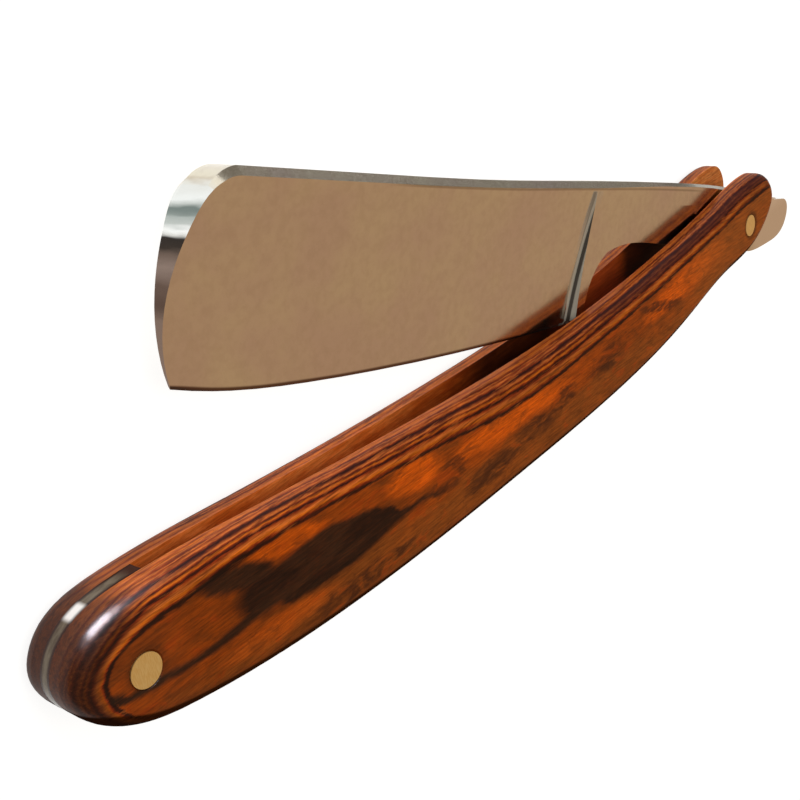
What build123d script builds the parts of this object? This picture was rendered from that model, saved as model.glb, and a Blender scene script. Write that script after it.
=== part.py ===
from build123d import *
from math import atan, degrees
import os

# Folding straight razor, lying on the outer face of its rear scale.
# The model is drawn about the razor's middle plane: x runs from the pivot to the
# butt, y to the side the blade opens to, z across the thickness. The last step
# turns it so that the rear scale's outer face is the plane z = 0, with the pivot
# axis crossing that plane at the origin and the butt towards -x.

# handle
pin_spacing = 126.0
pin_diameter = 3.4
scale_thickness = 3.5
gap_at_pivot = 5.4
gap_at_wedge_pin = 1.5
edge_radius = 2.2
hole_bevel = 0.2
rim_pieces = 6

# handle outline, as (distance from the pivot, height above the line of the pins)
handle_top = [(5.0, 6.0), (22.0, 3.8), (48.0, 2.3), (80.0, 3.4), (108.0, 5.8), (123.8, 7.0)]
handle_butt = [(130.8, 5.5), (133.1, 2.0), (130.5, -3.5)]
handle_underside = [(121.0, -7.7), (98.0, -10.6), (66.0, -11.2), (40.0, -10.55), (22.0, -8.35), (8.0, -5.7)]
handle_pivot_end = [(-1.6, -4.6), (-7.8, -1.6), (-10.4, 2.2), (-8.6, 5.8), (-4.4, 6.9)]
rear_scale_turn = 0.42

# wedge
wedge_inner_end = 121.6

# washers and their seats
washer_thickness = 0.45
washer_diameter = 8.0
washer_bore = 3.5
seat_clearance = 0.1
seat_diameter = 8.2

# blade outline, in the same coordinates as the handle
spine_line = [(101.6, 38.0), (87.5, 33.4), (60.7, 24.8), (43.0, 19.6), (18.0, 12.1), (0.0, 6.2)]
spine_at_tail = (-20.5, -1.7)
tail_end = [(-24.8, -3.2), (-26.4, -5.4), (-24.9, -7.7), (-21.6, -8.9)]
tang_underside = [(-16.0, -8.7), (-8.0, -7.4), (0.0, -3.7), (10.0, -0.1), (22.7, 4.2), (31.9, 7.3)]
throat = [(37.6, 8.0), (41.4, 6.2), (43.9, 3.4)]
heel = (45.0, 0.4)
cutting_edge = [(64.1, 4.9), (82.2, 9.7), (96.8, 14.1), (106.6, 17.6)]
toe = (113.2, 20.7)
nose = [(113.2, 24.2), (112.1, 28.3), (109.9, 32.2)]
nose_corner = [(107.3, 35.3), (104.4, 37.6)]

# blade thickness; heights are measured from the lowest run of the cutting edge,
# square to the blade's length
blade_slope = 16.9
belly = (80.0, 9.3)
spine_half = 2.6
spine_flat_half = 1.75
spine_bevel = 0.95
hollow_radius = 100.0
hollow_top = (19.7, 2.6)
hollow_bottom = (0.0, 0.06)
relief_bottom = (2.0, 1.3)
shoulder_from_belly = 35.0
shoulder_lean = 8.5
relief_from_belly = 67.0
wheel_corner = 1.4
honed_width = 0.5
honed_half = 0.16
edge_half = 0.03
tang_half = 2.25
tang_flat_end = 21.0
spine_full_from = 41.0
tail_half = 1.5
pivot_clearance = 0.04

far = 200.0

half_gap_slope = (gap_at_pivot - gap_at_wedge_pin) / (2 * pin_spacing)
half_thickness_at_pivot = gap_at_pivot / 2 + scale_thickness


def in_pieces(curve, count):
    """A curve cut into pieces of equal length."""
    return [curve.trim(k / count, (k + 1) / count) for k in range(count)]


def outline(*runs):
    """Face bounded by smooth runs of points, each ending where the next begins."""
    edges = []
    for index, run in enumerate(runs):
        following = runs[(index + 1) % len(runs)]
        edges += in_pieces(Spline(*run, following[0]), len(run))
    return make_face(Wire(edges))


def slab(inner, outer):
    """Tapering slab on the rear side, between two half-thicknesses at the pivot."""
    corners = []
    for x in (-far, far):
        corners.append((x, inner - half_gap_slope * x))
    for x in (far, -far):
        corners.append((x, outer - half_gap_slope * x))
    return extrude(Plane.XZ * make_face(Polyline(*corners, close=True)), far, both=True)


def mirrored(solid):
    return mirror(solid, about=Plane.XY)


def pin_at(x, diameter):
    return Pos(x, 0, 0) * Cylinder(diameter / 2, far)


def handle_block(turn):
    """Handle outline made into a block, its pivot end raised by a small turn about the butt pin."""
    rim = Spline(*handle_top, *handle_butt, *handle_underside, *handle_pivot_end, periodic=True)
    rim = rim.rotate(Axis((pin_spacing, 0, 0), (0, 0, -1)), turn)
    return extrude(make_face(Wire(in_pieces(rim, rim_pieces))), far / 4, both=True)


def scale(turn):
    """Scale on the rear side, rounded outside, with holes for the pins and a washer's seat."""
    solid = handle_block(turn) & slab(gap_at_pivot / 2, half_thickness_at_pivot)
    solid = fillet(solid.faces().sort_by(Axis.Z)[-1].outer_wire().edges(), edge_radius)
    for x in (0, pin_spacing):
        solid -= pin_at(x, pin_diameter)
    outer_face = solid.faces().filter_by(GeomType.PLANE).sort_by(Axis.Z)[-1]
    solid = chamfer(outer_face.inner_wires().edges(), hole_bevel)
    return solid - Cylinder(seat_diameter / 2, 2 * seat_height)


# scales; the rear one stands a little higher at the pivot
seat_height = gap_at_pivot / 2 + seat_clearance
rear_scale = scale(rear_scale_turn)
front_scale = mirrored(scale(0))

# wedge between the scales at the butt
wedge = handle_block(0) & (slab(-far, gap_at_pivot / 2) & mirrored(slab(-far, gap_at_pivot / 2)))
wedge &= Pos(wedge_inner_end, 0, 0) * Box(far, far, far, align=(Align.MIN, Align.CENTER, Align.CENTER))
wedge -= pin_at(pin_spacing, pin_diameter)

# pins, flush with both outer faces
between_faces = slab(-far, half_thickness_at_pivot) & mirrored(slab(-far, half_thickness_at_pivot))
pivot_pin = pin_at(0, pin_diameter) & between_faces
wedge_pin = pin_at(pin_spacing, pin_diameter) & between_faces

# washers on the pivot pin, seated in the scales
ring = Cylinder(washer_diameter / 2, washer_thickness) - Cylinder(washer_bore / 2, washer_thickness)
rear_pivot_washer = Pos(0, 0, seat_height - washer_thickness / 2) * ring
front_pivot_washer = mirrored(rear_pivot_washer)


def blade_outline(drop):
    """Side view of the blade, with its spine lowered by a bevel's height."""
    corner = [nose_corner[0], (nose_corner[1][0], nose_corner[1][1] - drop / 2)]
    spine = [(x, y - drop) for x, y in [*spine_line, spine_at_tail]]
    return outline(spine, tail_end + tang_underside, throat, [heel] + cutting_edge, [toe] + nose + corner)


def above_edge(rise):
    """Side view of all that lies above the cutting edge, raised by a bevel's height."""
    edge = Pos(0, rise, 0) * Spline(heel, *cutting_edge, toe)
    first, last = edge @ 0, edge @ 1
    around = Polyline(last, (far, last.Y), (far, far), (-far, far), (-far, -far), (first.X, -far), first)
    return make_face(Wire([*in_pieces(edge, len(cutting_edge)), *around.edges()]))


def stacked(sections):
    """Solid with straight sides between faces given as (height, face)."""
    return loft([Pos(0, 0, z) * face for z, face in sections], ruled=True)


def wheel(low, high, start, reach):
    """Grinding wheel that leaves a hollow between two (height, half-thickness) points."""
    chord = Vector(*high) - Vector(*low)
    normal = Vector(-chord.Y, chord.X).normalized()
    centre = (Vector(*low) + Vector(*high)) / 2
    centre += normal * (hollow_radius**2 - (chord.length / 2) ** 2) ** 0.5
    along = Vector(1, 0, 0).rotate(Axis.Z, blade_slope)
    across = Vector(0, 1, 0).rotate(Axis.Z, blade_slope)
    middle = Vector(*belly) + across * centre.X + Vector(0, 0, centre.Y)
    disc = Plane(origin=middle, z_dir=along) * Cylinder(hollow_radius, 2 * far)
    shoulder = Vector(*belly) + across * high[0] / 2 - along * start
    facing = along.rotate(Axis.Z, shoulder_lean)
    disc = split(disc, Plane(origin=shoulder, z_dir=facing))
    disc = split(disc, Plane(origin=shoulder + along * reach, z_dir=facing), keep=Keep.BOTTOM)
    return fillet(disc.faces().filter_by(GeomType.PLANE).edges(), wheel_corner)


# blade: blank with a bevelled spine, tapered in plan, then hollow ground on both sides
blank = stacked(
    [
        (-spine_half, blade_outline(spine_bevel)),
        (-spine_flat_half, blade_outline(0)),
        (spine_flat_half, blade_outline(0)),
        (spine_half, blade_outline(spine_bevel)),
    ]
)
plan_side = [(far, spine_half), (spine_full_from, spine_half), (tang_flat_end, tang_half)]
plan_side += [(-washer_diameter, tang_half), (-far / 4, tail_half)]
plan = plan_side + [(x, -z) for x, z in reversed(plan_side)]
blade = blank & extrude(Plane.XZ * make_face(Polyline(*plan, close=True)), far, both=True)

hollow = wheel(hollow_bottom, hollow_top, shoulder_from_belly, far)
relief = wheel(relief_bottom, hollow_top, relief_from_belly, relief_from_belly)
blade -= [hollow, relief, mirrored(hollow), mirrored(relief)]
blade -= pin_at(0, pin_diameter + 2 * pivot_clearance)
blade &= stacked(
    [
        (-far, above_edge(honed_width)),
        (-honed_half, above_edge(honed_width)),
        (-edge_half, above_edge(0)),
        (edge_half, above_edge(0)),
        (honed_half, above_edge(honed_width)),
        (far, above_edge(honed_width)),
    ]
)

# turn the razor to lie on its rear scale
lean = degrees(atan(half_gap_slope))
lay = Rot(0, -lean, 0) * Pos(0, 0, half_thickness_at_pivot) * Rot(0, 180, 0)
parts = {
    "blade": blade,
    "front_scale": front_scale,
    "rear_scale": rear_scale,
    "wedge": wedge,
    "pivot_pin": pivot_pin,
    "wedge_pin": wedge_pin,
    "front_pivot_washer": front_pivot_washer,
    "rear_pivot_washer": rear_pivot_washer,
}
os.makedirs("parts", exist_ok=True)
for name, solid in parts.items():
    export_step(lay * solid, f"parts/{name}.step")
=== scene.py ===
import math
from functools import reduce

import bpy
from mathutils import Matrix, Vector


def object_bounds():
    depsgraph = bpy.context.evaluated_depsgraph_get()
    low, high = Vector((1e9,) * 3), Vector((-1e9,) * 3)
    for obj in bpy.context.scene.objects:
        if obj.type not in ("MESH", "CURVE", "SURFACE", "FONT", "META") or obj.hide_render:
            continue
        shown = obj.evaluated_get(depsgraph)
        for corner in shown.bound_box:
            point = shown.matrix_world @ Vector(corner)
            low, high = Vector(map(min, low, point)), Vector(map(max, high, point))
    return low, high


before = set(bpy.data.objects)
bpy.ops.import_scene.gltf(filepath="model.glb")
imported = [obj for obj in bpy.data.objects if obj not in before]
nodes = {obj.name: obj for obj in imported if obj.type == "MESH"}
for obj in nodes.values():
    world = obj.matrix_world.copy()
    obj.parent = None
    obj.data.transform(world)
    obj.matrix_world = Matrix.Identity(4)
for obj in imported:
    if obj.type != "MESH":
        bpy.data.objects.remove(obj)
cad_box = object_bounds()
MM = 0.001


def srgb(*channels):
    """Linear colour from 0 to 255 display values."""
    return tuple(((c / 255 + 0.055) / 1.055) ** 2.4 if c > 10 else c / 255 / 12.92 for c in channels)


# Driving values. Lengths and places are millimetres in the razor's own frame: the pivot
# is at x = 0, the butt lies towards -x, and the blade opens towards +y.

# handle; a window is the stretch of x and of y that its drawn lines lie in
pin_spacing = 126.0
scale_thickness = 3.5
gap_at_pivot = 5.4
gap_at_butt_pin = 1.5
front_face_at_pivot = gap_at_pivot + 2 * scale_thickness
front_face_slope = (gap_at_pivot - gap_at_butt_pin) / pin_spacing
handle_window = ((-135.0, 15.0), (-13.0, 9.0))
handle_top = [
    (-135.0, 3.0), (-130.8, 5.5), (-123.8, 7.0), (-108.0, 5.8), (-80.0, 3.4), (-48.0, 2.3),
    (-22.0, 3.8), (-5.0, 6.0), (4.4, 6.9), (8.6, 5.8), (15.0, 0.0),
]
handle_underside = [
    (-135.0, 0.0), (-130.5, -3.5), (-121.0, -7.7), (-98.0, -10.6), (-66.0, -11.2), (-40.0, -10.55),
    (-22.0, -8.35), (-8.0, -5.7), (1.6, -4.6), (7.8, -1.6), (15.0, 2.2),
]

# blade
blade_window = ((-116.0, 28.0), (-12.0, 40.0))
blade_spine = [
    (-116.0, 38.2), (-101.6, 38.0), (-87.5, 33.4), (-60.7, 24.8), (-43.0, 19.6), (-18.0, 12.1),
    (0.0, 6.2), (28.0, -5.0),
]
blade_edge = [
    (-116.0, 22.0), (-113.2, 20.7), (-106.6, 17.6), (-96.8, 14.1), (-82.2, 9.7), (-64.1, 4.9),
    (-45.0, 0.4), (28.0, -12.0),
]
shoulder_point = (-43.65, 8.55)
shoulder_turn = math.radians(25.4)
shoulder_facing = (-math.cos(shoulder_turn), math.sin(shoulder_turn))

# veneers of the wood: the first dark line along the handle, and the oval that it makes
# round the butt pin, flatter above the pin than below
first_line = [
    (-135.0, 4.1), (-120.0, 3.9), (-110.0, 4.0), (-96.0, 2.5), (-81.0, 0.7), (-70.0, -0.7),
    (-58.0, -1.0), (-45.0, -0.3), (-27.0, 1.0), (-12.0, 2.5), (-2.0, 3.8), (15.0, 4.1),
]
ring_centre = (-122.8, 1.0)
ring_half_length = 7.4
ring_half_above = 3.0
ring_half_below = 7.4
rings_take_over = (ring_centre[0] + 2.0, ring_centre[0] - 1.5)
under_line_inset = 0.5
lines_per_mm_across = 0.526
lines_per_mm_deep = 0.73

# dark figure on the front scale: its body between two lines, and its arms
dark_figure_top = [
    (-135.0, -6.0), (-130.3, -0.6), (-129.4, -0.1), (-128.0, -1.0), (-125.0, -1.5), (-122.0, -1.8),
    (-117.5, -2.1), (-114.0, -1.6), (-111.5, 0.6), (-108.0, 1.0), (-103.0, 1.2), (-98.0, 0.2),
    (-93.0, -1.4), (-90.0, -3.2), (-86.0, -3.6), (-82.0, -5.6), (15.0, -8.0),
]
dark_figure_under = [
    (-135.0, -5.0), (-130.3, -0.2), (-129.4, -1.3), (-128.0, -1.9), (-125.0, -2.4), (-122.0, -2.7),
    (-117.5, -3.2), (-112.0, -3.0), (-108.0, -4.1), (-103.0, -4.7), (-98.0, -4.8), (-92.0, -4.1),
    (-86.0, -4.1), (-82.0, -4.6), (15.0, -5.0),
]
figure_softness = 0.8

# patches on the front scale, as (centre, half size, turn in degrees)
dark_arms = [
    ((-114.2, 2.2), (5.6, 1.5), -22.0),
    ((-103.0, -1.8), (9.5, 3.0), -6.0),
    ((-112.0, -0.8), (3.4, 2.6), 0.0),
]
orange_patches = [
    ((-107.5, 2.4), (5.5, 1.2), -9.0),
    ((-88.0, -0.4), (5.0, 1.9), -8.0),
    ((-69.0, -2.4), (12.5, 1.7), -3.0),
    ((-22.0, -1.0), (14.0, 2.2), 6.0),
    ((-110.0, -5.6), (8.0, 1.3), -4.0),
]
brown_patches = [
    ((-82.4, -3.5), (3.2, 1.7), 4.0),
    ((-64.4, -5.4), (5.0, 1.9), 0.0),
    ((-57.6, -4.5), (2.4, 1.5), 0.0),
    ((-46.0, -4.0), (5.0, 2.0), 0.0),
    ((-74.0, -6.5), (6.0, 1.6), 0.0),
    ((-31.0, -2.0), (7.0, 0.9), -14.0),
    ((-97.0, -7.6), (10.0, 1.2), -2.0),
]

# changes along the wood, as (x where it starts, x where it is full)
butt_darkens = (-121.5, -126.5)
butt_rings_darken = (-126.5, -129.5)
rear_butt_darkens = (-98.0, -114.0)
first_line_bold = (-104.0, -116.0)
face_brightens = (-114.0, -86.0)
veneers_dull = (-112.0, -60.0)
veneers_dull_at_pivot = (-30.0, 4.0)
pivot_stripe_starts = (-50.0, -26.0)
face_pales_at_pivot = (-30.0, -12.0)
butt_shines = (-119.0, -124.5)
# the painted highlight along the rim's inner edge
rim_highlight_starts = (-119.0, -112.0)
inner_face_starts = (-123.0, -121.4)
# the inner faces turn paler towards the butt: painted light
inner_face_painted_light = (-66.0, -92.0)
inner_face_pales_at_pivot = (-8.0, -3.0)

# stretches of the inner faces, as (rise, fall): painted shadows of the blade and the tang, and a stretch
# of painted light bounced into the throat; dark rings round the pins, as (x, how much)
inner_painted_shadows = [((-74.0, -64.0), (-46.0, -50.0)), ((-29.0, -25.0), (-10.0, -14.0))]
inner_painted_bounce_light = ((-40.0, -36.0), (-26.0, -30.0))
dark_rings_round_pins = [(0.0, 0.6), (-pin_spacing, 0.35)]

# colours of the veneers, and their bands: 0 is the first dark line, and one more is a line further out
gold = srgb(196, 98, 16)
orange = srgb(184, 78, 12)
tan = srgb(196, 104, 40)
rust = srgb(136, 48, 12)
dark = srgb(34, 14, 7)
umber = srgb(64, 24, 10)
plum = srgb(98, 38, 18)
line = srgb(52, 22, 10)
veneer_bands = [
    (-0.50, orange), (-0.20, orange), (-0.06, line), (0.06, line), (0.20, rust), (0.36, gold),
    (0.52, tan), (0.80, rust), (0.90, dark), (1.00, umber), (1.10, rust), (1.22, gold),
    (1.42, umber), (1.50, rust), (1.62, tan), (1.86, plum), (2.00, dark), (2.14, umber),
    (2.26, rust), (2.42, tan), (2.68, rust), (2.80, tan), (2.94, plum), (3.06, rust),
    (3.24, tan), (3.44, gold), (3.66, rust), (3.86, tan), (4.10, gold), (5.50, rust),
]

# bands of painted reflection across the blade's polished end, by y
end_facet_reflection_bands = [
    (27.0, srgb(120, 100, 88)), (28.2, srgb(84, 66, 56)), (29.8, srgb(96, 78, 68)),
    (31.2, srgb(132, 114, 104)), (32.3, srgb(104, 88, 78)), (32.8, srgb(52, 44, 38)),
    (33.5, srgb(44, 38, 34)), (33.75, srgb(214, 214, 210)), (34.0, srgb(240, 242, 240)),
    (34.35, srgb(186, 192, 188)), (34.9, srgb(168, 176, 172)), (35.1, srgb(136, 146, 142)),
    (35.6, srgb(112, 124, 120)), (35.9, srgb(190, 196, 192)), (36.3, srgb(232, 236, 234)),
    (37.2, srgb(222, 224, 220)), (37.5, srgb(176, 158, 138)), (37.7, srgb(150, 120, 94)),
    (39.0, srgb(134, 106, 82)),
]

# marks on the blade along x, as (where it starts, where it is full) or as a rise and a fall
spine_line_runs = ((-84.0, -76.0), (-6.0, -14.0))
# the tang's darker stretch is a painted reflection of the scale
tang_reflection_runs = ((-44.0, -38.0), (6.0, 2.0))
dull_bevel_runs = ((-24.0, -16.0), (2.0, -2.0))
tail_starts = (8.0, 12.0)
honed_from_heel = (-44.0, -46.0)
end_facet_starts = (-98.0, -102.0)

# marks on the ground shoulder, painted reflection of its curved fillet, by their distance beyond
# shoulder_point along shoulder_facing
shoulder_strip = ((-0.5, -0.1), (2.6, 2.0))
shoulder_middle_line = ((0.40, 0.52), (0.98, 0.82))
shoulder_rim_line = (1.3, 1.42)

# wedge: its painted highlight as a patch, and changes along x
wedge_painted_highlight = ((-128.7, 6.7), (1.1, 1.0), 30.0)
wedge_inner_end_darkens = (-123.4, -121.2)
wedge_polished = (-128.0, -124.0)

# camera: the point it looks at, the ways back and up from there, its distance and its lens
camera_aim = (-84.69, 6.72, 6.2)
camera_back = (-0.68352, 0.41661, 0.59936)
camera_up = (0.41554, 0.89717, -0.14972)
camera_distance = 125.5
camera_lens = 50.85


# ---------------------------------------------------------------- node helper
class Tree:
    """A material, with short calls that add shader nodes and link them."""

    def __init__(self, name):
        self.material = bpy.data.materials.new(name)
        self.material.use_nodes = True
        self.tree = self.material.node_tree
        self.tree.nodes.clear()
        self.output = self.tree.nodes.new("ShaderNodeOutputMaterial")
        self.coords = self.tree.nodes.new("ShaderNodeTexCoord")
        self.point = self.vector("MULTIPLY", self.coords.outputs["Object"], (1 / MM,) * 3)
        self.x, self.y, self.z = self.split(self.point)

    def node(self, kind, inputs=None, **settings):
        new = self.tree.nodes.new(kind)
        for key, value in settings.items():
            setattr(new, key, value)
        for key, value in (inputs or {}).items():
            self.feed(new.inputs[key], value)
        return new

    def feed(self, socket, value):
        """Link a socket to another node's output, or set its own value."""
        if isinstance(value, bpy.types.NodeSocket):
            self.tree.links.new(value, socket)
        elif socket.type == "RGBA":
            socket.default_value = (*value, 1)
        elif value is not None:
            socket.default_value = value

    def math(self, operation, first, second=None, third=None):
        inputs = {0: first, 1: second, 2: third}
        return self.node("ShaderNodeMath", inputs, operation=operation).outputs[0]

    def vector(self, operation, first, second):
        return self.node("ShaderNodeVectorMath", {0: first, 1: second}, operation=operation).outputs[0]

    def split(self, vector):
        return self.node("ShaderNodeSeparateXYZ", {0: vector}).outputs

    def product(self, *values):
        return reduce(lambda so_far, value: self.math("MULTIPLY", so_far, value), values)

    def largest(self, *values):
        return reduce(lambda so_far, value: self.math("MAXIMUM", so_far, value), values)

    def rest_of(self, share):
        return self.math("SUBTRACT", 1.0, share)

    def square_length(self, across, up):
        return self.math("MULTIPLY_ADD", across, across, self.math("MULTIPLY", up, up))

    def length(self, across, up):
        return self.math("SQRT", self.square_length(across, up))

    def noise(self, per_mm, detail=2.0, roughness=0.5, distortion=0.0):
        """Noise with about so many lumps to the millimetre along X, Y and Z."""
        inputs = {"Vector": self.vector("MULTIPLY", self.point, per_mm), "Scale": 1.0}
        inputs |= {"Detail": detail, "Roughness": roughness, "Distortion": distortion}
        return self.node("ShaderNodeTexNoise", inputs).outputs[0]

    def spread(self, value, low, high, to_low=0.0, to_high=1.0, smooth=True):
        """to_low at low and to_high at high, blended between them and level beyond."""
        inputs = {0: value, 1: low, 2: high, 3: to_low, 4: to_high}
        kind = "SMOOTHSTEP" if smooth else "LINEAR"
        return self.node("ShaderNodeMapRange", inputs, interpolation_type=kind).outputs[0]

    def stretch(self, value, rise, fall):
        """1 on a stretch of values; rise and fall each say where it is 0 and where it is 1."""
        return self.product(self.spread(value, *rise), self.spread(value, *fall))

    def mix(self, share, first, second, blend="MIX"):
        # its colour sockets come after the ones for numbers and vectors
        new = self.node("ShaderNodeMix", data_type="RGBA", blend_type=blend)
        self.feed(new.inputs[0], share)
        self.feed(new.inputs[6], first)
        self.feed(new.inputs[7], second)
        return new.outputs[2]

    def shaded(self, colour, brightness):
        """A colour made lighter or darker."""
        grey = self.node("ShaderNodeCombineColor", {0: brightness, 1: brightness, 2: brightness})
        return self.mix(1.0, colour, grey.outputs[0], "MULTIPLY")

    def bands(self, value, places):
        """Colours blended between places, which are (value, colour) and run upwards."""
        low, high = places[0][0], places[-1][0]
        new = self.node("ShaderNodeValToRGB", {0: self.spread(value, low, high, smooth=False)})
        elements = new.color_ramp.elements
        for place, colour in places[1:-1]:
            elements.new((place - low) / (high - low)).color = (*colour, 1)
        elements[0].color = (*places[0][1], 1)
        elements[-1].color = (*places[-1][1], 1)
        return new.outputs[0]

    def curve(self, value, points, window):
        """Height of the smooth line through (x, y) points in a window, where x is value."""
        (left, right), (bottom, top) = window
        share = self.spread(value, left, right, smooth=False)
        new = self.node("ShaderNodeFloatCurve", {"Factor": 1.0, "Value": share})
        scaled = [((x - left) / (right - left), (y - bottom) / (top - bottom)) for x, y in points]
        shape = new.mapping.curves[0]
        shape.points[0].location = scaled[0]
        shape.points[1].location = scaled[-1]
        for place in scaled[1:-1]:
            shape.points.new(*place)
        new.mapping.update()
        return self.math("MULTIPLY_ADD", new.outputs[0], top - bottom, bottom)

    def bump(self, height, strength, distance):
        inputs = {"Strength": strength, "Distance": distance, "Height": height}
        return self.node("ShaderNodeBump", inputs).outputs[0]

    def surface(self, **inputs):
        inputs = {key.replace("_", " "): value for key, value in inputs.items()}
        shader = self.node("ShaderNodeBsdfPrincipled", inputs)
        self.tree.links.new(shader.outputs[0], self.output.inputs["Surface"])
        return self.material


def patch(tree, x, y, centre, half, turn):
    """Soft elliptical patch, 1 at its centre and 0 outside."""
    dx = tree.math("ADD", x, -centre[0])
    dy = tree.math("ADD", y, -centre[1])
    cosine = math.cos(math.radians(turn))
    sine = math.sin(math.radians(turn))
    along = tree.math("MULTIPLY", dy, sine / half[0])
    along = tree.math("MULTIPLY_ADD", dx, cosine / half[0], along)
    across = tree.math("MULTIPLY", dy, cosine / half[1])
    across = tree.math("MULTIPLY_ADD", dx, -sine / half[1], across)
    return tree.spread(tree.square_length(along, across), 1.5, 0.3)


def front_face_height(tree):
    """Height of the front scale's outer face."""
    return tree.math("MULTIPLY_ADD", tree.x, front_face_slope, front_face_at_pivot)


# ---------------------------------------------------------------- laminated wood
class Wood(Tree):
    """Material of the scales, with the places and noises that its patterns share."""

    def __init__(self, name):
        super().__init__(name)
        # depth under the scale's own outer face, and 1 on the front scale or 0 on the rear one
        from_front = self.math("SUBTRACT", front_face_height(self), self.z)
        self.depth = self.math("MINIMUM", from_front, self.z)
        self.is_front = self.spread(self.math("SUBTRACT", from_front, self.z), 1.0, -1.0)
        underside = self.curve(self.x, handle_underside, handle_window)
        self.below_underside = self.math("SUBTRACT", underside, self.y)
        # noises, all drawn out along the handle
        self.wander = self.noise((0.05, 0.22, 0.22), 2.0, 0.5)
        self.ripple = self.noise((0.45, 1.7, 1.7), 3.0, 0.6)
        self.fibre = self.noise((0.7, 9.0, 9.0), 2.0, 0.6)
        self.cloud = self.noise((0.085, 0.34, 0.3), 4.0, 0.62, 0.4)
        self.patchy = self.noise((0.20, 0.62, 0.62), 5.0, 0.68)
        self.blotch = self.noise((0.30, 0.75, 0.75), 4.0, 0.6, 0.8)
        self.layer = ragged_layer(self)


def side_distance(wood):
    """How far outside the first line, or the line along the underside, a place lies."""
    above_line = wood.math("SUBTRACT", wood.y, wood.curve(wood.x, first_line, handle_window))
    return wood.math("MAXIMUM", above_line, wood.math("ADD", wood.below_underside, under_line_inset))


def ring_distance(wood):
    """How far outside the oval round the butt pin a place lies."""
    dx = wood.math("ADD", wood.x, -ring_centre[0])
    dy = wood.math("ADD", wood.y, -ring_centre[1])
    along = wood.math("MULTIPLY", dx, 1 / ring_half_length)
    above = wood.math("MULTIPLY", dy, 1 / ring_half_above)
    below = wood.math("MULTIPLY", dy, -1 / ring_half_below)
    # the oval's own edge is 1; the floor under it keeps the division finite at its centre
    oval = wood.largest(wood.length(along, wood.largest(above, below)), 0.05)
    share_outside = wood.rest_of(wood.math("DIVIDE", 1.0, oval))
    return wood.math("MULTIPLY", wood.length(dx, dy), share_outside)


def ragged_layer(wood):
    """Which veneer shows: 0 along the first line, one more for each line towards the rim."""
    distance = wood.node("ShaderNodeMix", data_type="FLOAT")
    wood.feed(distance.inputs[0], wood.spread(wood.x, *rings_take_over))
    wood.feed(distance.inputs[2], side_distance(wood))
    wood.feed(distance.inputs[3], ring_distance(wood))
    layer = wood.math("MULTIPLY", distance.outputs[0], lines_per_mm_across)
    layer = wood.math("MULTIPLY_ADD", wood.depth, lines_per_mm_deep, layer)
    noises = [(wood.wander, 0.5), (wood.ripple, 0.34), (wood.fibre, 0.26)]
    for noise, amount in noises:
        layer = wood.math("MULTIPLY_ADD", noise, amount, layer)
    return wood.math("ADD", layer, -sum(amount for noise, amount in noises) / 2)


def veneer_brightness(wood):
    rear_butt = wood.product(wood.spread(wood.x, *rear_butt_darkens), wood.rest_of(wood.is_front))
    return wood.product(
        wood.spread(wood.x, *veneers_dull, 1.12, 0.84, smooth=False),
        wood.math("MULTIPLY_ADD", rear_butt, -0.4, 1.0),
        wood.spread(wood.x, *veneers_dull_at_pivot, 1.0, 0.72, smooth=False),
    )


def veneers(wood):
    """Veneers cut through at a slant, so that they show as lines along the rim."""
    colour = wood.bands(wood.layer, veneer_bands)
    veins = wood.noise((0.16, 2.6, 2.6), 4.0, 0.62)
    colour = wood.mix(wood.spread(veins, 0.50, 0.66, 0.0, 0.6), colour, umber)
    colour = wood.mix(wood.spread(veins, 0.46, 0.34, 0.0, 0.45), colour, tan)
    # towards the underside they blur into one brown
    blurred = wood.product(wood.spread(wood.y, -2.4, -4.6), wood.spread(wood.depth, 2.8, 1.8), 0.8)
    colour = wood.mix(blurred, colour, srgb(104, 52, 20))
    return wood.shaded(colour, veneer_brightness(wood))


def veneer_ends(wood, colour):
    """Veneers with a dark butt, and a broad dark stripe above the first line at the pivot."""
    ragged_x = wood.math("MULTIPLY_ADD", wood.ripple, 3.0, wood.x)
    outer = wood.spread(wood.layer, 0.25, 0.9)
    outer = wood.product(wood.spread(ragged_x, *butt_darkens), outer, 0.76)
    colour = wood.mix(outer, colour, srgb(38, 17, 9))
    rings = wood.spread(wood.layer, 0.14, 0.40)
    rings = wood.product(wood.spread(ragged_x, *butt_rings_darken), rings, 0.6)
    colour = wood.mix(rings, colour, srgb(54, 25, 12))
    wandering_x = wood.math("MULTIPLY_ADD", wood.wander, 16.0, wood.x)
    stripe = wood.stretch(wood.layer, (0.85, 1.15), (2.35, 2.0))
    stripe = wood.product(wood.spread(wandering_x, *pivot_stripe_starts), stripe, 0.75)
    return wood.mix(stripe, colour, srgb(60, 26, 24))


def pushed_about(wood, along, across):
    """x and y with a noise added, which gives a drawn shape ragged edges."""
    push = wood.math("MULTIPLY_ADD", wood.patchy, 2.6, -1.3)
    return wood.math("MULTIPLY_ADD", push, along, wood.x), wood.math("MULTIPLY_ADD", push, across, wood.y)


def brown_smears(wood):
    x, y = pushed_about(wood, 3.0, 1.0)
    smears = wood.largest(*[patch(wood, x, y, *shape) for shape in brown_patches])
    smears = wood.product(smears, wood.is_front, wood.spread(wood.blotch, 0.36, 0.60, 0.12, 0.78))
    return wood.largest(smears, wood.spread(wood.patchy, 0.60, 0.74, 0.0, 0.35))


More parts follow.
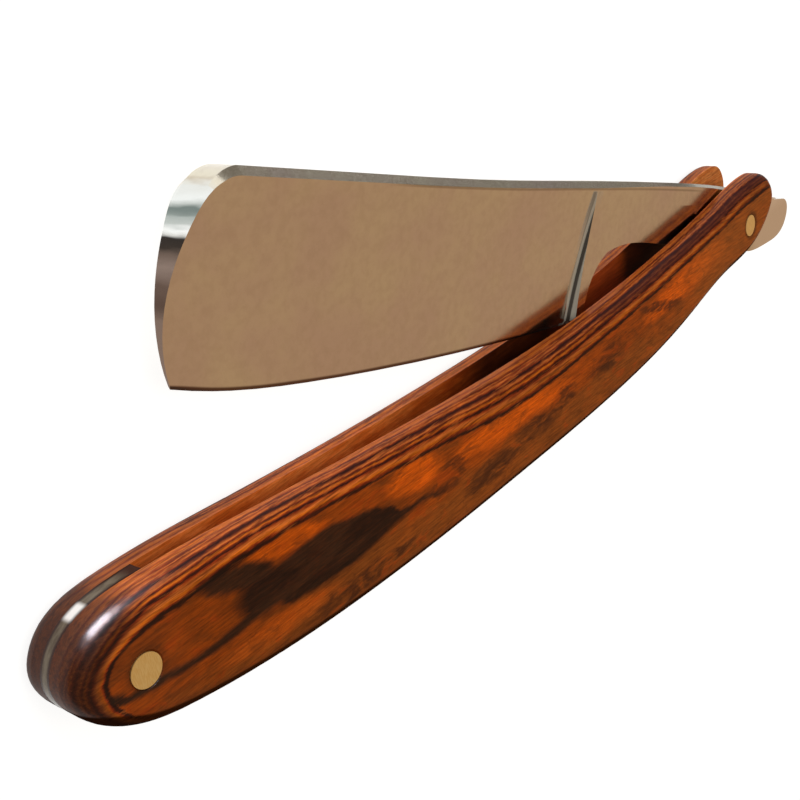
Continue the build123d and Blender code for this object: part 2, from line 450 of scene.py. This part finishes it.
def mottled_face(wood):
    """Broad face of one veneer, inside the first line."""
    colour = wood.mix(wood.spread(wood.cloud, 0.35, 0.65), srgb(128, 58, 12), srgb(160, 70, 10))
    glow = wood.largest(*[patch(wood, wood.x, wood.y, *shape) for shape in orange_patches])
    glow = wood.product(glow, wood.spread(wood.patchy, 0.35, 0.6, 0.5, 1.0), wood.is_front)
    colour = wood.mix(glow, colour, srgb(216, 92, 8))
    towards_underside = wood.spread(wood.math("MULTIPLY_ADD", wood.cloud, 5.0, wood.y), -0.5, -4.0)
    colour = wood.mix(wood.product(towards_underside, 0.6), colour, srgb(134, 74, 26))
    colour = wood.mix(wood.spread(wood.blotch, 0.50, 0.66, 0.0, 0.5), colour, srgb(104, 52, 16))
    colour = wood.mix(wood.spread(wood.blotch, 0.46, 0.32, 0.0, 0.4), colour, srgb(176, 66, 10))
    colour = wood.mix(brown_smears(wood), colour, srgb(68, 34, 16))
    colour = wood.mix(wood.spread(wood.x, *face_pales_at_pivot, 0.0, 0.55), colour, srgb(150, 84, 30))
    # darker rings in the wood round the pins
    for pin_x, amount in dark_rings_round_pins:
        from_pin = wood.length(wood.math("ADD", wood.x, -pin_x), wood.y)
        colour = wood.mix(wood.spread(from_pin, 2.7, 1.9, 0.0, amount), colour, srgb(64, 38, 14))
    return wood.shaded(colour, wood.spread(wood.x, *face_brightens, 0.86, 1.05))


def bold_first_line(wood):
    """Share of the first line's darker stretch round the butt pin."""
    on_line = wood.stretch(wood.layer, (-0.26, -0.08), (0.22, 0.08))
    near_butt = wood.spread(wood.x, *first_line_bold)
    return wood.product(on_line, near_butt, wood.spread(wood.y, -2.2, -0.4), 0.8)


def dark_figure(wood):
    """Share of the large dark figure on the front scale's outer face."""
    x, y = pushed_about(wood, 1.2, 0.4)
    below_top = wood.math("SUBTRACT", wood.curve(x, dark_figure_top, handle_window), y)
    above_under = wood.math("SUBTRACT", y, wood.curve(x, dark_figure_under, handle_window))
    inside = wood.math("MINIMUM", below_top, above_under)
    body = wood.spread(inside, -figure_softness / 2, figure_softness / 2)
    figure = wood.largest(body, *[patch(wood, x, y, *shape) for shape in dark_arms])
    on_face = wood.product(wood.is_front, wood.spread(wood.depth, 0.5, 0.2))
    return wood.product(figure, on_face, wood.spread(wood.fibre, 0.2, 0.6, 0.84, 0.96))


def figure_colour(wood):
    return wood.mix(wood.spread(wood.cloud, 0.4, 0.6), srgb(30, 18, 12), srgb(48, 30, 18))


def on_inner_face(wood):
    inwards = wood.spread(wood.depth, scale_thickness - 0.16, scale_thickness - 0.06)
    return wood.product(inwards, wood.spread(wood.x, *inner_face_starts))


def inner_face(wood):
    """Faces between the scales, each the face of one veneer, with painted light towards the butt and in
    the throat, and painted shadows of the blade and the tang.
    """
    mottle = wood.spread(wood.patchy, 0.35, 0.65)
    colour = wood.mix(mottle, srgb(124, 48, 10), srgb(156, 70, 18))
    # paler towards the butt: painted light on the inner faces
    pale = wood.mix(mottle, srgb(188, 92, 32), srgb(208, 118, 54))
    colour = wood.mix(wood.spread(wood.x, *inner_face_painted_light), colour, pale)
    # painted shadows of the blade and the tang on the inner faces
    painted_shadows = wood.largest(*[wood.stretch(wood.x, *ends) for ends in inner_painted_shadows])
    colour = wood.mix(wood.product(painted_shadows, 0.85), colour, srgb(34, 14, 6))
    # a reddish stretch of painted light, bounced into the throat
    colour = wood.mix(wood.stretch(wood.x, *inner_painted_bounce_light), colour, srgb(148, 62, 24))
    pale = wood.mix(wood.spread(wood.ripple, 0.35, 0.6), srgb(188, 104, 44), srgb(206, 128, 64))
    return wood.mix(wood.spread(wood.x, *inner_face_pales_at_pivot), colour, pale)


def painted_rim_highlight(wood):
    """Share of the painted highlight along the edge between a scale's rim and its inner face."""
    at_edge = wood.stretch(wood.depth, (3.08, 3.26), (scale_thickness, scale_thickness - 0.1))
    unevenly = wood.spread(wood.ripple, 0.3, 0.6, 0.35, 0.8)
    return wood.product(at_edge, wood.spread(wood.x, *rim_highlight_starts), unevenly)


def laminated_wood():
    wood = Wood("laminated_wood")
    past_first_line = wood.spread(wood.layer, -0.22, -0.08)
    colour = wood.mix(past_first_line, mottled_face(wood), veneer_ends(wood, veneers(wood)))
    colour = wood.mix(bold_first_line(wood), colour, dark)
    colour = wood.mix(dark_figure(wood), colour, figure_colour(wood))
    # painted shade darkens the underside's rounded edge, which has no shine
    painted_underside_shade = wood.spread(wood.below_underside, -1.7, -1.3)
    colour = wood.mix(wood.product(painted_underside_shade, 0.88), colour, srgb(34, 17, 8))
    colour = wood.mix(on_inner_face(wood), colour, inner_face(wood))
    # a painted highlight along the edge where the rim meets the inner face
    colour = wood.mix(painted_rim_highlight(wood), colour, srgb(190, 98, 44))
    # fine streaks and pores along the length
    streaks = wood.noise((0.28, 5.0, 5.0), 3.0, 0.6)
    pores = wood.noise((1.1, 12.0, 12.0), 1.0, 0.5)
    grain = wood.spread(streaks, 0.3, 0.7, 0.72, 1.2)
    grain = wood.product(grain, wood.spread(pores, 0.28, 0.42, 0.74, 1.0))
    return wood.surface(
        Base_Color=wood.shaded(colour, grain),
        Roughness=wood.spread(streaks, 0.3, 0.7, 0.34, 0.46),
        Normal=wood.bump(pores, 0.12, 0.04 * MM),
        Specular_IOR_Level=0.0,
        Coat_Weight=wood.product(wood.spread(wood.x, *butt_shines, 0.22, 0.34), wood.rest_of(painted_underside_shade)),
        Coat_Roughness=0.28,
    )


# ---------------------------------------------------------------- blade steel
class Steel(Tree):
    """Material of the blade, with the distances that its patterns share."""

    def __init__(self, name):
        super().__init__(name)
        # face_on is 1 on the broad sides and 0 round the rim
        facing = self.split(self.coords.outputs["Normal"])
        self.faces_butt = self.spread(facing[0], -0.35, -0.55)
        self.face_on = self.math("ABSOLUTE", facing[2])
        spine = self.curve(self.x, blade_spine, blade_window)
        edge = self.curve(self.x, blade_edge, blade_window)
        self.below_spine = self.math("SUBTRACT", spine, self.y)
        self.above_edge = self.math("SUBTRACT", self.y, edge)


# Each of the next functions draws one mark, and returns its share and its colour.
def line_under_spine(steel):
    """Dark line along the lower side of the spine's bevel."""
    on_line = steel.stretch(steel.below_spine, (0.9, 1.02), (1.35, 1.15))
    on_body = steel.stretch(steel.x, *spine_line_runs)
    return steel.product(on_line, on_body, 0.45), srgb(120, 100, 78)


def painted_tang_reflection(steel):
    """Painted darker reflection of the scale, where the tang enters the handle."""
    above_handle = steel.math("SUBTRACT", steel.y, steel.curve(steel.x, handle_top, handle_window))
    on_tang = steel.stretch(steel.x, *tang_reflection_runs)
    return steel.product(steel.spread(above_handle, 0.9, -0.6), on_tang, 0.75), srgb(96, 74, 60)


def tail_with_painted_top_sheen(steel):
    """Tail, cooler and brighter, with a painted highlight along its top."""
    colour = steel.mix(steel.spread(steel.y, -4.5, -1.5), srgb(240, 236, 230), srgb(255, 255, 255))
    return steel.product(steel.spread(steel.x, *tail_starts), 0.8), colour


def dull_bevel(steel):
    """Bevel, duller towards the pivot."""
    near_pivot = steel.stretch(steel.x, *dull_bevel_runs)
    return steel.product(near_pivot, steel.spread(steel.face_on, 0.96, 0.9), 0.8), srgb(136, 132, 116)


def honed_edge(steel):
    """Honed edge, darker."""
    on_edge = steel.spread(steel.above_edge, 0.5, 0.22)
    return steel.product(on_edge, steel.spread(steel.x, *honed_from_heel), 0.9), srgb(84, 46, 26)


def ground_shoulder(steel):
    """Dull light strip where the grinding ends, with dark lines along its middle and its rim, all painted
    reflection of the curved ground fillet.
    """
    offset = -sum(place * way for place, way in zip(shoulder_point, shoulder_facing))
    beyond = steel.math("MULTIPLY_ADD", steel.y, shoulder_facing[1], offset)
    beyond = steel.math("MULTIPLY_ADD", steel.x, shoulder_facing[0], beyond)
    strip = steel.stretch(beyond, *shoulder_strip)
    turned = steel.spread(steel.face_on, 0.992, 0.975)
    strip = steel.product(strip, turned, steel.spread(steel.below_spine, 1.2, 1.6))
    middle_line = steel.stretch(beyond, *shoulder_middle_line)
    rim_line = steel.product(steel.spread(beyond, *shoulder_rim_line), 0.6)
    painted_reflection_lines = steel.product(steel.largest(middle_line, rim_line), 0.9)
    return strip, steel.mix(painted_reflection_lines, srgb(170, 164, 148), srgb(40, 32, 26))


def polished_end(steel):
    """Polished end facet, with bands of painted reflection across it."""
    streak = steel.math("ADD", steel.noise((0.6, 1.0, 0.2)), steel.y)
    on_end = steel.product(steel.faces_butt, steel.spread(steel.x, *end_facet_starts))
    return on_end, steel.bands(steel.math("ADD", streak, -0.5), end_facet_reflection_bands)


def blade_steel():
    steel = Steel("blade_steel")
    cloud = steel.noise((0.10, 0.10, 0.10), 3.0, 0.55)
    fine = steel.noise((0.9, 0.9, 0.9), 3.0, 0.6)
    colour = steel.mix(steel.spread(cloud, 0.3, 0.7), srgb(216, 204, 194), srgb(222, 216, 196))
    colour = steel.mix(steel.spread(fine, 0.35, 0.7, 0.0, 0.3), colour, srgb(196, 184, 168))
    for mark in (line_under_spine, painted_tang_reflection, tail_with_painted_top_sheen, dull_bevel, honed_edge):
        share, mark_colour = mark(steel)
        colour = steel.mix(share, colour, mark_colour)
    strip, strip_colour = ground_shoulder(steel)
    colour = steel.mix(strip, colour, strip_colour)
    on_end, end_colour = polished_end(steel)
    brushed = steel.noise((7.0, 0.35, 7.0), 3.0, 0.6)
    return steel.surface(
        Base_Color=steel.mix(on_end, colour, end_colour),
        Metallic=steel.math("MULTIPLY_ADD", strip, -0.75, 1.0),
        Roughness=steel.spread(brushed, 0.3, 0.7, 0.12, 0.2),
        Normal=steel.bump(brushed, 0.05, 0.02 * MM),
    )


# ---------------------------------------------------------------- brass and wedge
def brass(name, low, high):
    """Sanded brass, between two colours."""
    tree = Tree(name)
    lines = tree.noise((9.0, 1.2, 1.2), 2.0, 0.6)
    return tree.surface(
        Base_Color=tree.mix(tree.spread(lines, 0.3, 0.7), low, high),
        Metallic=0.7,
        Roughness=tree.spread(lines, 0.3, 0.7, 0.30, 0.45),
        Normal=tree.bump(lines, 0.15, 0.02 * MM),
    )


def wedge_spacer():
    """Grey wedge with glue lines, dark at its inner end, polished round the butt, with a painted
    highlight there.
    """
    tree = Tree("wedge_spacer")
    cloud = tree.noise((0.5, 0.5, 1.6), 4.0, 0.6)
    colour = tree.mix(tree.spread(cloud, 0.3, 0.7), srgb(76, 62, 46), srgb(112, 100, 82))
    # darker at its inner end
    inner_end = tree.spread(tree.math("MULTIPLY_ADD", cloud, 2.0, tree.x), *wedge_inner_end_darkens)
    colour = tree.mix(inner_end, colour, srgb(58, 26, 10))
    front_face = front_face_height(tree)
    from_middle = tree.math("ABSOLUTE", tree.math("MULTIPLY_ADD", front_face, -0.5, tree.z))
    half_gap = tree.math("MULTIPLY_ADD", front_face, 0.5, -scale_thickness)
    from_scale = tree.math("SUBTRACT", half_gap, from_middle)
    colour = tree.mix(tree.spread(from_scale, 0.42, 0.14), colour, srgb(48, 24, 14))
    # a painted highlight on the wedge near the butt
    highlight_patch = tree.math("POWER", patch(tree, tree.x, tree.y, *wedge_painted_highlight), 1.7)
    highlight_patch = tree.product(highlight_patch, tree.spread(from_scale, -0.1, 0.5))
    return tree.surface(
        Base_Color=tree.mix(highlight_patch, colour, srgb(240, 236, 230)),
        Roughness=tree.spread(tree.x, *wedge_polished, 0.25, 0.7),
        Normal=tree.bump(cloud, 0.08, 0.03 * MM),
        Specular_IOR_Level=0.1,
        Coat_Weight=tree.spread(tree.x, *wedge_polished, 0.2, 0.0),
        Coat_Roughness=0.1,
    )


def dress(material, *names):
    for name in names:
        for slot in nodes[name].material_slots:
            slot.material = material


pin_brass = brass("pin_brass", srgb(236, 196, 118), srgb(250, 216, 142))
washer_brass = brass("washer_brass", srgb(204, 164, 92), srgb(226, 188, 116))
dress(laminated_wood(), "front_scale", "rear_scale")
dress(blade_steel(), "blade")
dress(pin_brass, "pivot_pin", "wedge_pin")
dress(washer_brass, "front_pivot_washer", "rear_pivot_washer")
dress(wedge_spacer(), "wedge")


# ---------------------------------------------------------------- stage
def paper(name, diffuse, glow, strength):
    """Dull paper that gives off some light of its own."""
    material = bpy.data.materials.new(name)
    material.use_nodes = True
    shader = material.node_tree.nodes["Principled BSDF"]
    shader.inputs["Base Color"].default_value = (*diffuse, 1)
    shader.inputs["Roughness"].default_value = 0.9
    shader.inputs["Specular IOR Level"].default_value = 0.1
    shader.inputs["Emission Color"].default_value = (*glow, 1)
    shader.inputs["Emission Strength"].default_value = strength
    return material


def sheet(name, size, place, facing, material):
    """Square stage card centred at place, with its normal along facing."""
    half = size / 2
    mesh = bpy.data.meshes.new(name)
    corners = [(-half, -half, 0), (half, -half, 0), (half, half, 0), (-half, half, 0)]
    mesh.from_pydata(corners, [], [(0, 1, 2, 3)])
    mesh.materials.append(material)
    card = bpy.data.objects.new(name, mesh)
    bpy.context.scene.collection.objects.link(card)
    turn = Vector(facing).to_track_quat("Z", "Y")
    card.matrix_world = Matrix.Translation(place) @ turn.to_matrix().to_4x4()
    return card


def lamp(name, direction, distance, size, power, colour):
    """Soft rectangular light facing the razor's middle, seen from it along direction."""
    data = bpy.data.lights.new(name, "AREA")
    data.shape = "RECTANGLE"
    data.size, data.size_y = size
    data.energy = power
    data.color = colour
    light = bpy.data.objects.new(name, data)
    bpy.context.scene.collection.objects.link(light)
    towards = Vector(direction).normalized()
    turn = towards.to_track_quat("Z", "Y").to_matrix().to_4x4()
    light.matrix_world = Matrix.Translation(middle + towards * distance) @ turn
    return light


middle = (cad_box[0] + cad_box[1]) / 2
floor_paper = paper("floor_paper", (0.3, 0.3, 0.3), (1.0, 1.0, 0.99), 0.86)
sheet("floor", 4.0, (0, 0, -0.0001), (0, 0, 1), floor_paper)

# a tan card across from the camera, which the blade's face mirrors
tan_paper = paper("tan_card", (0.0, 0.0, 0.0), (0.49, 0.322, 0.20), 1.0)
tan_way = Vector((0.78, -0.33, 0.56)).normalized()
tan_card = sheet("tan_card", 1.3, middle + tan_way, -tan_way, tan_paper)
tan_card.visible_camera = False

lamp("window", (-0.10, 0.95, 0.30), 0.8, (0.42, 0.42), 2.6, (0.90, 0.90, 1.0))
top = lamp("top", (-0.2, 0.3, 1.0), 0.9, (0.6, 0.6), 3.6, (1.0, 0.98, 0.95))
top.visible_glossy = False

# the window again, for the highlight on the lacquered scales alone
glint = lamp("glint", (-0.14, 0.97, 0.19), 0.8, (0.42, 0.55), 70.0, (0.88, 0.88, 1.0))
glint.visible_diffuse = False
lacquered = bpy.data.collections.new("lacquered")
lacquered.objects.link(nodes["front_scale"])
lacquered.objects.link(nodes["rear_scale"])
glint.light_linking.receiver_collection = lacquered

scene = bpy.context.scene
scene.view_settings.view_transform = "Standard"
scene.world = bpy.data.worlds.new("studio")
scene.world.use_nodes = True
background = scene.world.node_tree.nodes["Background"]
background.inputs["Color"].default_value = (0.22, 0.20, 0.18, 1)
background.inputs["Strength"].default_value = 1.0

# ---------------------------------------------------------------- camera
back = Vector(camera_back).normalized()
right = Vector(camera_up).cross(back).normalized()
turn = Matrix((right, back.cross(right), back)).transposed().to_4x4()
camera_data = bpy.data.cameras.new("camera")
camera_data.lens = camera_lens
camera_data.sensor_width = 36.0
camera_data.clip_start = 0.005
camera = bpy.data.objects.new("camera", camera_data)
camera.matrix_world = Matrix.Translation((Vector(camera_aim) + back * camera_distance) * MM) @ turn
scene.collection.objects.link(camera)
scene.camera = camera
